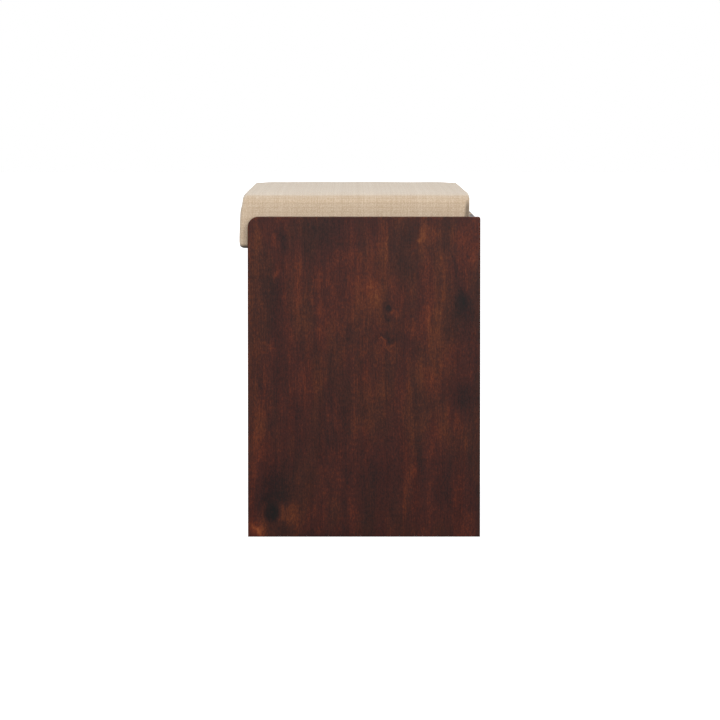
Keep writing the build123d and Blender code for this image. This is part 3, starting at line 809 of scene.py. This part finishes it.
def weave(shader, over_x, over_y):
    """Height and tone of the plain weave."""
    warp = shader.math("DIVIDE", over_x, THREAD)
    weft = shader.math("DIVIDE", over_y, THREAD)
    warp_number = shader.math("FLOOR", warp)
    weft_number = shader.math("FLOOR", weft)
    warp_height, warp_over = thread_height(shader, warp, weft, warp_number, -0.5)
    weft_height, _ = thread_height(shader, weft, warp, weft_number, 0.5)
    cloth_place = shader.join(over_x, over_y, 0.0)
    warp_slub = shader.noise(cloth_place, (620, 60, 1), 2.0, 0.6)
    weft_slub = shader.noise(shader.vector("ADD", cloth_place, (3, 5, 0)), (60, 620, 1), 2.0, 0.6)
    warp_tone = thread_tone(shader, warp_number, warp_slub)
    weft_tone = thread_tone(shader, weft_number, weft_slub)
    tone = shader.math("MULTIPLY", warp_tone, warp_over)
    tone = shader.math("MULTIPLY_ADD", weft_tone, shader.scaled(warp_over, -1.0, 1.0), tone)
    return shader.math("MAXIMUM", warp_height, weft_height), tone


def painted_cloth_shade(shader, place, on_end, drop):
    """Painted shade on the cloth, 0 to 1: where it turns under the lip, and down the back corners."""
    x, y, z = shader.split(place)[:3]
    under_lip = shader.spread(z, lip_bottom + 0.0056, lip_bottom + 0.0006)
    from_middle = shader.math("ABSOLUTE", x)
    at_end = shader.spread(from_middle, half_length - 0.009, half_length - 0.001, 0.22, 0.92)
    under_lip = shader.math("MULTIPLY", under_lip, at_end)
    wider_below = shader.math("MULTIPLY_ADD", drop, 0.10, y)
    round_back = shader.spread(wider_below, rear - 0.0062, rear - 0.0020)
    round_back = shader.math("MULTIPLY", on_end, round_back)
    round_back = shader.math("MULTIPLY", round_back, shader.spread(z, top - SIDES_START, top - 0.020))
    return shader.math("MAXIMUM", under_lip, shader.scaled(round_back, 0.60))


def linen():
    """Oatmeal linen, plain weave. Its threads run on over the rolled edges."""
    shader = Shader("oatmeal_linen", Sheen_Weight=0.40, Sheen_Roughness=0.58, Specular_IOR_Level=0.15)
    shader.plug(shader.surface.inputs["Sheen Tint"], (0.80, 0.92, 1.0, 1.0))
    place = shader.place()
    normal = shader.split(shader.facing())
    to_end = shader.math("ABSOLUTE", normal[0])
    on_end = shader.math("GREATER_THAN", to_end, shader.math("ABSOLUTE", normal[1]))
    over_x, over_y, drop = lay_cloth(shader, place, on_end)
    height, tone = weave(shader, over_x, over_y)
    soft = shader.noise(place, (34, 34, 34), 3.0, 0.6)
    tone = shader.vary(tone, soft, 0.09)
    nap = shader.noise(place, (640, 640, 640), 2.0, 0.7)
    tone = shader.vary(tone, nap, 0.90)
    colour = shader.ramp(tone, *OATMEAL)
    # Painted shade: the cloth is darker in the gaps between its threads.
    gap = shader.spread(height, 0.45, 0.05)
    colour = shader.mix(shader.scaled(gap, 0.35), colour, linear(150, 120, 90))
    # Painted shade: the rolled edges are darkened a little.
    turned = shader.spread(normal[2], 0.20, 0.60)
    turned = shader.math("MULTIPLY", turned, shader.spread(normal[2], 0.985, 0.90))
    colour = shader.mix(shader.scaled(turned, 0.13), colour, linear(96, 74, 52))
    # Painted shade: the cloth is darkened towards a dark brown under the lip and down the back
    # corners.
    shade = painted_cloth_shade(shader, place, on_end, drop)
    shader.colour(shader.mix(shade, colour, linear(58, 46, 34)))
    shader.surface.inputs["Roughness"].default_value = 0.9
    shader.bump(height, 0.00035, 0.8)
    return shader.material


def dust_cloth():
    """Black spun-bonded cloth with a fine pressed grid and pale flecks."""
    shader = Shader("black_dust_cloth", Sheen_Weight=0.2, Sheen_Roughness=0.5)
    place = shader.place()
    waves = [
        shader.math("SINE", shader.math("MULTIPLY", part, 2 * math.pi / DUST_PRESS))
        for part in shader.split(place)[:2]
    ]
    dots = shader.math("MULTIPLY", *waves)
    fleck = shader.noise(place, (1400, 1400, 1400), 2.0, 0.7)
    cloudy = shader.noise(place, (45, 45, 45), 3.0)
    tone = shader.math("MULTIPLY_ADD", fleck, 0.6, shader.scaled(cloudy, 0.5, -0.05))
    shader.colour(shader.ramp(tone, (0.30, linear(22, 22, 24)), (0.85, linear(58, 58, 60))))
    shader.roughness(shader.spread(fleck, 0.3, 0.7, 0.92, 0.78))
    shader.bump(shader.math("MULTIPLY_ADD", dots, 0.4, fleck), 0.0002, 0.6)
    return shader.material


def metal(name, clean, dull, smooth, rough, brush):
    """Plated metal: fine drawn marks, by brush per metre, cloudy tarnish and dull spots."""
    shader = Shader(name, Metallic=1.0)
    place = shader.place()
    drawn = shader.noise(place, brush, 3.0, 0.6)
    cloudy = shader.noise(place, (130, 130, 130), 4.0, 0.6)
    spots = shader.spread(shader.noise(place, (520, 520, 520), 2.0), 0.62, 0.75)
    tone = shader.spread(cloudy, 0.35, 0.68)
    colour = shader.mix(tone, clean, dull)
    shader.colour(shader.mix(shader.scaled(spots, 0.35), colour, dull))
    worn = shader.math("MULTIPLY_ADD", drawn, 0.12, shader.spread(cloudy, 0.3, 0.7, smooth, rough))
    shader.roughness(worn)
    shader.bump(drawn, 0.00004, 0.5)
    return shader.material


def rubber():
    """Soft dark grey rubber, dusty on its high spots."""
    shader = Shader("grey_rubber", Specular_IOR_Level=0.4)
    grit = shader.noise(shader.place(), (1100, 1100, 1100), 3.0, 0.7)
    shader.colour(shader.ramp(grit, (0.35, linear(38, 37, 36)), (0.80, linear(78, 76, 74))))
    shader.roughness(shader.spread(grit, 0.3, 0.7, 0.62, 0.85))
    shader.bump(grit, 0.0001, 0.5)
    return shader.material


def give(made, material):
    made.data.materials.clear()
    made.data.materials.append(material)


# Stain of the right end panel, front edge to back: the glued boards, then what stands out.
END_STAVES = [
    (-0.137, -0.02),
    (-0.086, -0.06),
    (-0.014, -0.01),
    (0.058, -0.03),
    (0.084, 0.02),
    (0.126, 0.00),
]
END_KNOTS = [
    (0.042, 0.333, 0.0050, 0.24),
    (0.156, 0.4086, 0.0016, 0.18),
    (-0.128, 0.036, 0.0130, 0.26),
]
END_MARKS = [
    (-0.052, 0.441, 0.028, 0.024, -0.10),
    (-0.050, 0.345, 0.050, 0.085, 0.13),
    (-0.006, 0.382, 0.015, 0.050, 0.09),
    (-0.056, 0.250, 0.040, 0.042, 0.06),
    (-0.152, 0.420, 0.010, 0.050, 0.07),
    (-0.110, 0.435, 0.006, 0.014, -0.22),
    (-0.100, 0.426, 0.008, 0.028, 0.08),
    (-0.128, 0.343, 0.010, 0.046, -0.16),
    (-0.122, 0.382, 0.005, 0.005, 0.22),
    (-0.123, 0.428, 0.006, 0.008, 0.16),
    (-0.133, 0.280, 0.005, 0.006, 0.12),
    (0.0386, 0.424, 0.0024, 0.020, 0.22),
    (0.030, 0.430, 0.014, 0.030, 0.07),
    (0.060, 0.400, 0.010, 0.040, -0.10),
    (0.094, 0.441, 0.010, 0.014, 0.13),
    (0.090, 0.428, 0.003, 0.008, 0.20),
    (0.116, 0.404, 0.003, 0.013, 0.18),
    (0.148, 0.430, 0.013, 0.024, 0.08),
    (0.118, 0.446, 0.013, 0.016, 0.12),
    (0.160, 0.395, 0.012, 0.030, 0.10),
    (0.160, 0.318, 0.012, 0.020, -0.08),
    (0.095, 0.050, 0.014, 0.020, -0.08),
    (0.018, 0.354, 0.017, 0.028, 0.13),
    (0.043, 0.3175, 0.006, 0.004, -0.20),
    (0.050, 0.326, 0.006, 0.004, 0.15),
    (0.032, 0.311, 0.010, 0.005, 0.07),
    (0.040, 0.291, 0.017, 0.006, -0.20),
    (0.043, 0.281, 0.008, 0.004, 0.20),
    (0.068, 0.284, 0.014, 0.009, -0.08),
    (0.152, 0.344, 0.012, 0.013, -0.33),
    (0.143, 0.325, 0.013, 0.026, -0.13),
    (0.150, 0.206, 0.018, 0.021, -0.24),
    (0.156, 0.280, 0.010, 0.050, -0.08),
    (0.105, 0.290, 0.018, 0.070, 0.15),
    (0.075, 0.240, 0.006, 0.070, 0.05),
    (0.122, 0.158, 0.014, 0.026, 0.10),
    (0.024, 0.072, 0.034, 0.062, -0.13),
    (-0.046, 0.071, 0.030, 0.062, 0.05),
    (0.103, 0.071, 0.0045, 0.045, 0.14),
    (0.088, 0.106, 0.007, 0.036, -0.14),
    (0.122, 0.080, 0.022, 0.056, -0.14),
    (0.162, 0.075, 0.009, 0.050, -0.06),
    (0.155, 0.030, 0.012, 0.014, 0.10),
    (-0.125, 0.068, 0.021, 0.034, -0.26),
    (-0.150, 0.142, 0.009, 0.055, 0.14),
    (-0.089, 0.335, 0.008, 0.075, 0.09),
    (-0.058, 0.286, 0.018, 0.014, -0.09),
    (-0.120, 0.432, 0.020, 0.014, -0.07),
    (-0.055, 0.030, 0.045, 0.018, 0.08),
    (-0.040, 0.000, 0.055, 0.007, -0.14),
    (-0.137, 0.052, 0.010, 0.012, -0.16),
    (-0.042, 0.376, 0.006, 0.012, -0.16),
    (-0.117, 0.366, 0.008, 0.018, -0.13),
    (0.136, 0.320, 0.010, 0.014, -0.13),
    (-0.032, 0.322, 0.004, 0.017, -0.12),
    (0.100, 0.262, 0.007, 0.014, -0.14),
    (0.074, 0.264, 0.005, 0.014, -0.11),
    (0.003, 0.250, 0.006, 0.022, -0.12),
    (0.062, 0.438, 0.006, 0.010, -0.10),
    (0.004, 0.222, 0.006, 0.012, -0.08),
    (-0.014, 0.415, 0.010, 0.034, 0.10),
    (-0.012, 0.350, 0.010, 0.028, 0.08),
    (-0.048, 0.168, 0.009, 0.012, 0.10),
    (0.080, 0.317, 0.010, 0.012, 0.09),
    (0.175, 0.255, 0.006, 0.080, -0.16),
    (0.175, 0.050, 0.007, 0.055, -0.18),
    (-0.152, 0.012, 0.012, 0.013, 0.52),
    (-0.106, 0.031, 0.012, 0.016, 0.34),
    (-0.045, 0.164, 0.008, 0.011, 0.14),
]
# The same, slanting: the lean is metres across per metre along, before the tone.
END_SLANTS = [
    (0.137, 0.400, 0.0018, 0.026, -0.33, -0.16),
    (0.034, 0.282, 0.0022, 0.010, -1.00, 0.20),
    (0.071, 0.085, 0.0055, 0.045, 0.17, 0.10),
    (-0.146, 0.225, 0.0020, 0.030, -0.28, -0.12),
    (-0.127, 0.150, 0.0020, 0.040, -0.24, -0.10),
]


# The four stained panels, by node. Those that the near end hides are plainer.
STAINED_PANELS = {
    "side_panel_right": dict(
        name="stained_wood_right_end",
        axes=UPRIGHT,
        marks=END_MARKS,
        knots=END_KNOTS,
        staves=END_STAVES,
        slants=END_SLANTS,
    ),
    "side_panel_left": dict(
        name="stained_wood_left_end",
        axes=UPRIGHT,
        shift=(3.1, 1.7, 0.4),
        marks=[
            (-0.060, 0.300, 0.030, 0.080, 0.20),
            (0.080, 0.150, 0.020, 0.070, -0.25),
            (0.120, 0.390, 0.010, 0.030, 0.30),
        ],
        knots=[(-0.048, 0.212, 0.0080, 0.24), (0.096, 0.352, 0.0045, 0.20)],
        staves=[(-0.096, -0.05), (-0.021, 0.03), (0.049, -0.03), (0.118, 0.02)],
    ),
    "front_panel": dict(
        name="stained_wood_front",
        axes=LENGTHWISE,
        shift=(1.3, 4.2, 0.9),
        marks=[
            (0.300, -0.250, 0.030, 0.120, 0.20),
            (0.140, 0.120, 0.022, 0.110, -0.25),
            (0.230, 0.300, 0.012, 0.070, 0.25),
        ],
        knots=[
            (0.262, -0.128, 0.0100, 0.24),
            (0.118, 0.243, 0.0065, 0.22),
            (0.335, 0.061, 0.0040, 0.20),
        ],
        staves=[(0.112, -0.05), (0.196, 0.03), (0.281, -0.03), (0.362, 0.03)],
    ),
    "back_panel": dict(
        name="stained_wood_back",
        axes=LENGTHWISE,
        shift=(6.1, 2.6, 0.2),
        marks=[
            (0.250, 0.250, 0.030, 0.120, 0.18),
            (0.160, -0.180, 0.022, 0.110, -0.22),
        ],
        knots=[(0.190, 0.112, 0.0090, 0.24), (0.328, -0.287, 0.0060, 0.20)],
        staves=[(0.131, 0.03), (0.214, -0.04), (0.297, 0.02), (0.380, -0.03)],
    ),
}


def dress_frame():
    """Gives every CAD part that stays its own material."""
    for name, look in STAINED_PANELS.items():
        give(nodes[name], stained_wood(edges=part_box(name), **look))

    pine = (linear(214, 181, 134), linear(176, 133, 86))
    by_grain = {
        X: pale_wood("pine_along_x", LENGTHWISE, *pine),
        Y: pale_wood("pine_along_y", (X, Y, Z), *pine),
        Z: pale_wood("pine_along_z", (X, Z, Y), *pine),
    }
    battens = {"apron_board": X, "floor_cleat_front": X, "floor_cleat_back": X}
    battens.update({"floor_cleat_left": Y, "floor_cleat_right": Y})
    for end in ("left", "right"):
        battens[f"corner_block_front_{end}"] = Z
        battens[f"corner_block_back_{end}"] = Z
    for name, grain in battens.items():
        give(nodes[name], by_grain[grain])

    birch = (linear(222, 194, 154), linear(192, 156, 112))
    for name in ("floor_panel", "seat_board"):
        low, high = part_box(name)
        plies = (low.z, (high.z - low.z) / 7)
        give(nodes[name], pale_wood(f"{name}_birch_ply", LENGTHWISE, *birch, plies))
    beech = (linear(206, 164, 118), linear(170, 124, 82))
    give(nodes["panel_dowels"], pale_wood("beech", LENGTHWISE, *beech))

    brass_tones = (linear(214, 178, 104), linear(160, 122, 66))
    zinc_tones = (linear(206, 208, 210), linear(158, 160, 160))
    brass = metal("brass_plate", *brass_tones, smooth=0.22, rough=0.42, brush=(60, 900, 900))
    zinc = metal("zinc_plate", *zinc_tones, smooth=0.26, rough=0.46, brush=(500, 500, 500))
    for name, node in nodes.items():
        if name.startswith("hinge_"):
            give(node, brass)
        elif name.startswith("stay_") or name.endswith("_screws") or name.endswith("_staples"):
            give(node, zinc)
    give(nodes["lid_bumpers"], rubber())


# ---------------- studio

CAMERA_AWAY = 6.78          # from the near end of the bench
CAMERA_ASIDE = -0.0143
CAMERA_HEIGHT = 0.647
CAMERA_PITCH = 3.284        # degrees below level
CAMERA_YAW = 0.122          # degrees towards the back of the bench
CAMERA_LENS = 233.6
FLOOR_GLOW = 0.90           # the floor's own light where the camera sees it, which turns it white
STUDIO_LEVEL = 0.80         # brightness of the studio at eye level
STUDIO_SLOPE = (0.0, -0.12, 0.10)  # and how it grows along each axis


def make_camera():
    data = bpy.data.cameras.new("camera")
    data.lens = CAMERA_LENS
    data.sensor_width = 36.0
    data.clip_start, data.clip_end = 0.1, 200.0
    camera = bpy.data.objects.new("camera", data)
    bpy.context.scene.collection.objects.link(camera)
    camera.location = (near_end + CAMERA_AWAY, CAMERA_ASIDE, CAMERA_HEIGHT)
    camera.rotation_euler = (math.radians(90 - CAMERA_PITCH), 0, math.radians(90 - CAMERA_YAW))
    bpy.context.scene.camera = camera


def make_floor():
    reach = 30.0
    corners = [(-reach, -reach, 0), (reach, -reach, 0), (reach, reach, 0), (-reach, reach, 0)]
    floor = mesh_object("studio_floor", corners, [[0, 1, 2, 3]])
    shader = Shader("pale_floor", Specular_IOR_Level=0.1)
    cloudy = shader.noise(shader.place(), (0.7, 0.7, 0.7), 2.0)
    shader.colour(shader.ramp(cloudy, (0.2, (0.38, 0.38, 0.38, 1)), (0.8, (0.42, 0.42, 0.42, 1))))
    shader.surface.inputs["Roughness"].default_value = 0.9
    shader.surface.inputs["Emission Color"].default_value = (1, 1, 1, 1)
    looked_at = shader.node("LightPath").outputs["Is Camera Ray"]
    shader.plug(shader.surface.inputs["Emission Strength"], shader.scaled(looked_at, FLOOR_GLOW))
    give(floor, shader.material)


def make_world():
    """A white studio, brighter overhead and at the front, and plain white where it is looked at."""
    world = bpy.data.worlds.new("studio")
    bpy.context.scene.world = world
    world.use_nodes = True
    tree = world.node_tree
    tree.nodes.clear()
    place = tree.nodes.new("ShaderNodeTexCoord").outputs["Generated"]
    shade = tree.nodes.new("ShaderNodeVectorMath")
    shade.operation = "DOT_PRODUCT"
    tree.links.new(place, shade.inputs[0])
    shade.inputs[1].default_value = STUDIO_SLOPE
    level = tree.nodes.new("ShaderNodeMath")
    tree.links.new(shade.outputs["Value"], level.inputs[0])
    level.inputs[1].default_value = STUDIO_LEVEL
    lit = tree.nodes.new("ShaderNodeBackground")
    tree.links.new(level.outputs[0], lit.inputs["Strength"])
    seen = tree.nodes.new("ShaderNodeBackground")
    for background in (lit, seen):
        background.inputs["Color"].default_value = (1, 1, 1, 1)
    ray = tree.nodes.new("ShaderNodeLightPath").outputs["Is Camera Ray"]
    mix = tree.nodes.new("ShaderNodeMixShader")
    tree.links.new(ray, mix.inputs[0])
    tree.links.new(lit.outputs[0], mix.inputs[1])
    tree.links.new(seen.outputs[0], mix.inputs[2])
    out = tree.nodes.new("ShaderNodeOutputWorld")
    tree.links.new(mix.outputs[0], out.inputs[0])


def make_light(name, place, aim, size, power):
    """A square soft light."""
    data = bpy.data.lights.new(name, "AREA")
    data.shape = "SQUARE"
    data.size = size
    data.energy = power
    light = bpy.data.objects.new(name, data)
    bpy.context.scene.collection.objects.link(light)
    light.location = place
    light.rotation_euler = (Vector(aim) - Vector(place)).to_track_quat("-Z", "Y").to_euler()


def make_studio():
    make_world()
    make_floor()
    make_light("overhead", place=(0.3, -0.4, 3.0), aim=(0, 0, 0.3), size=3.2, power=9)
    make_light("end_key", place=(4.2, 0.60, 1.9), aim=(0.4, 0, 0.4), size=2.6, power=83)
    settings = bpy.context.scene.view_settings
    settings.view_transform = "Standard"
    settings.look = "None"
    settings.exposure = 0.0


# ---------------- build

dress_frame()

cushion = make_cushion()
give(cushion, linen())
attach(cushion, "lid")
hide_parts("fabric_cover", "foam_pad", "front_wadding")

dust_cover = make_dust_cover()
give(dust_cover, dust_cloth())
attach(dust_cover, "lid")
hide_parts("dust_cover")

make_studio()
make_camera()
